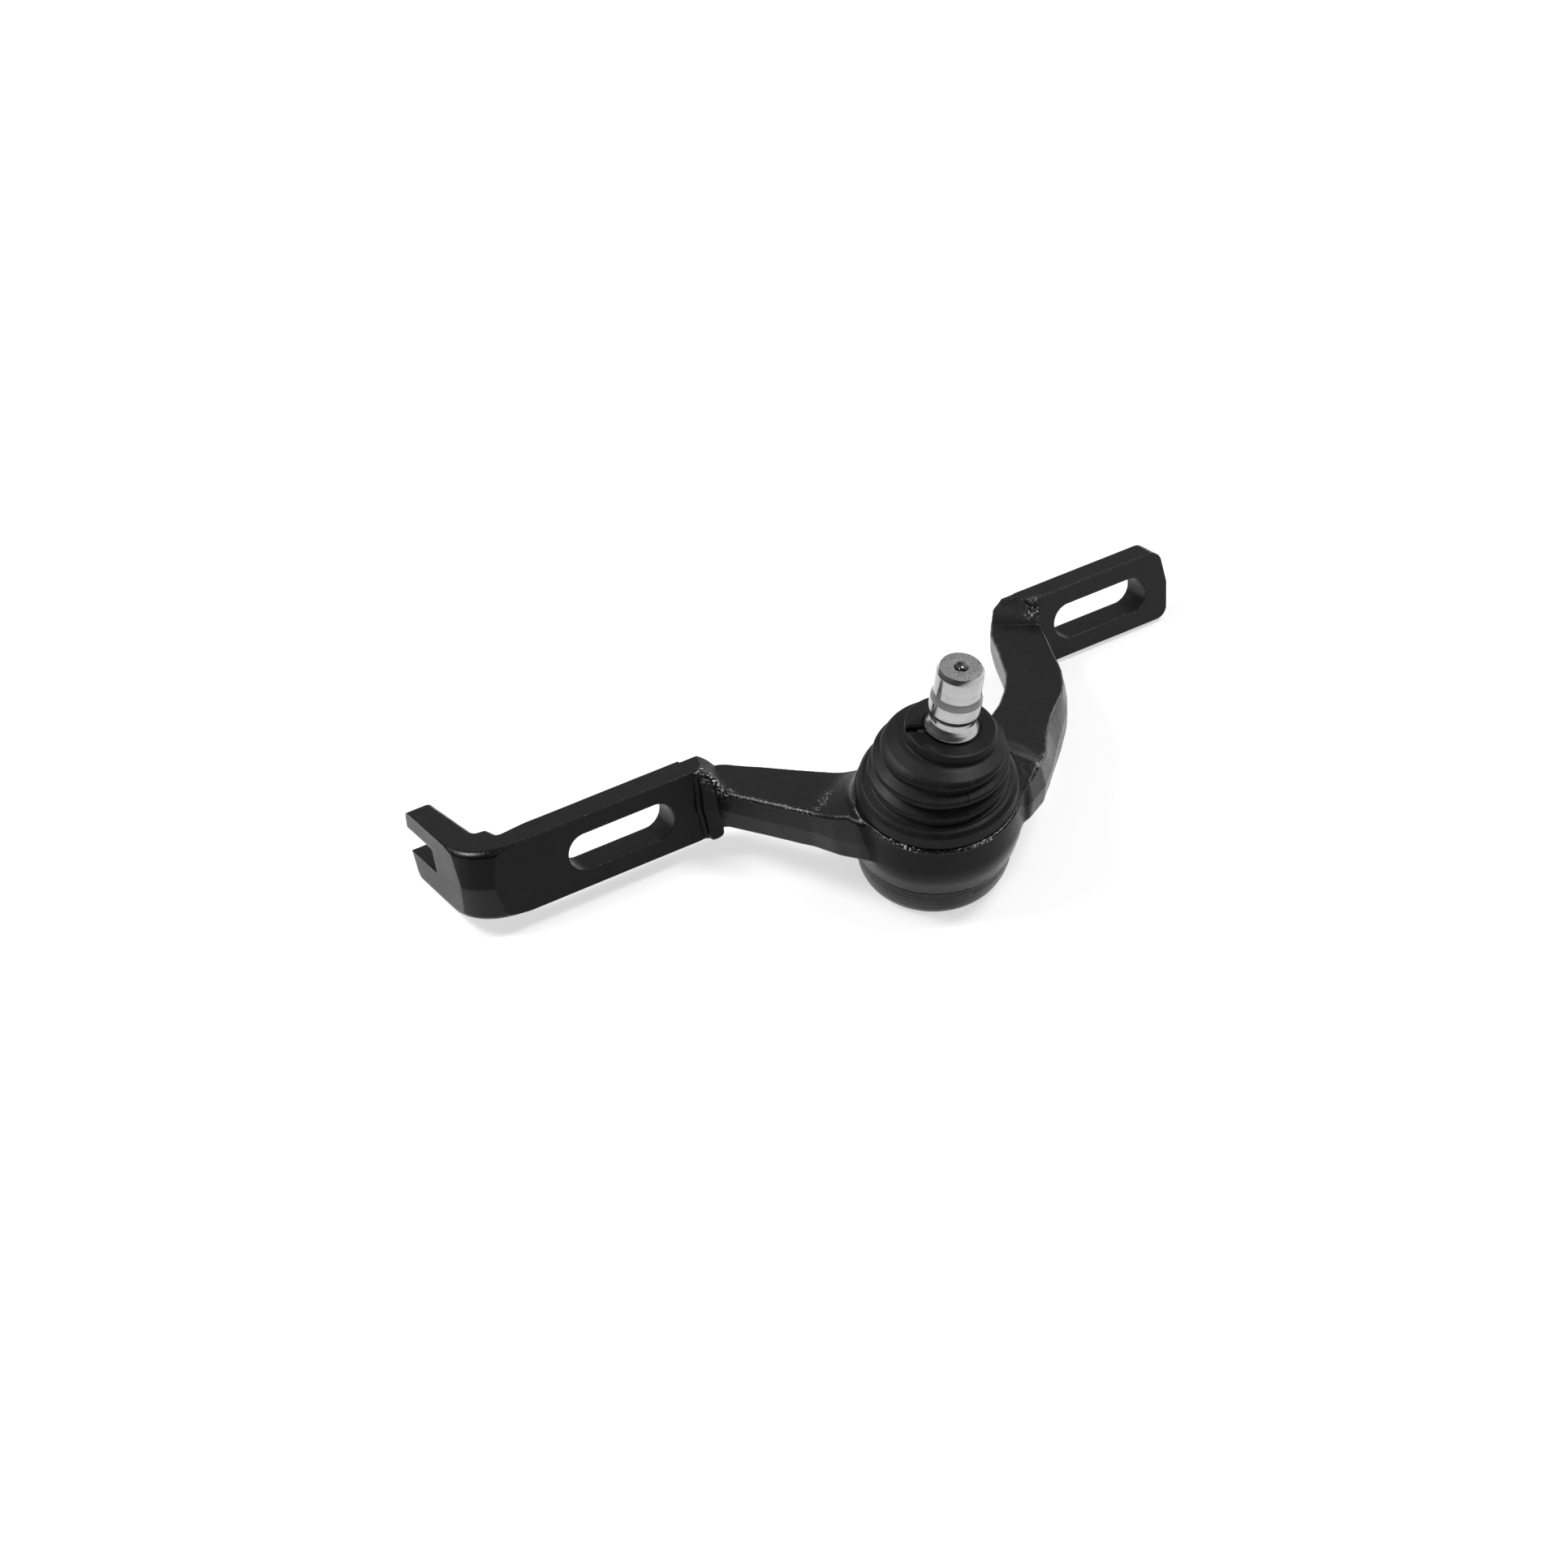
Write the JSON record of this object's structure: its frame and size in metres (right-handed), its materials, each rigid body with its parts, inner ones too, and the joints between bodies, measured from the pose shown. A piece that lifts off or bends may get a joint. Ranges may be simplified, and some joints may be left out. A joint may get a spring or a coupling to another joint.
{
  "type": "suspension control arm with ball joint",
  "caption": "Forged outer half of a two-piece upper control arm: slotted mounting plates, hooked end and a tilted ball joint with booted pinch stud.",
  "frame": {"origin": "centre of the ball, on the forging's parting plane at the height of both slot centres", "axes": "+X along the two slotted plates towards the straight end, +Y from the ball joint back to the plates, +Z along the plates' height towards the stud"},
  "size_m": [0.3283, 0.1564, 0.1006],
  "materials": {
    "black_forging": "satin black coating over a forged skin",
    "black_cover": "satin black coating",
    "stud_steel": "bright turned steel with fine circumferential tool marks",
    "bearing_steel": "ground bearing steel",
    "ball_steel": "polished",
    "spring_steel": "oil-tempered spring steel",
    "zinc_fitting": "zinc plated",
    "ring_steel": "pressed sheet steel",
    "ring_plastic": "black nylon",
    "boot_rubber": "matte moulded rubber with fine mould texture"
  },
  "bodies": {
    "arm": {"arm_forging": "black_forging", "upper_race": "bearing_steel", "lower_seat": "bearing_steel", "preload_spring": "spring_steel", "cover_plate": "black_cover", "grease_fitting": "zinc_fitting", "fitting_check_spring": "spring_steel", "boot_base_ring": "ring_steel"},
    "boot": {"dust_boot": "boot_rubber"},
    "boot_collar": {"boot_top_ring": "ring_plastic"},
    "stud": {"ball_stud": "stud_steel"},
    "check_ball": {"fitting_check_ball": "ball_steel"}
  },
  "joints": [
    {"name": "stud_lean", "type": "hinge", "parent": "arm", "child": "boot", "pos_m": [0, 0, 0], "axis": [0, 0.9314, 0.3639], "range_deg": [-27, 9], "deforming": ["dust_boot"]},
    {"name": "stud_rock", "type": "hinge", "parent": "boot", "child": "boot_collar", "pos_m": [0, 0, 0], "axis": [0.997, -0.0279, 0.0715], "range_deg": [-18, 18], "deforming": ["dust_boot"]},
    {"name": "stud_spin", "type": "hinge", "parent": "boot_collar", "child": "stud", "pos_m": [0, 0, 0], "axis": [0.078, -0.338, 0.9379], "continuous": true},
    {"name": "check_ball_lift", "type": "slide", "parent": "arm", "child": "check_ball", "axis": [-0.0768, -0.3628, 0.9287], "range_m": [0, 0.0008], "deforming": ["fitting_check_spring"]}
  ]
}
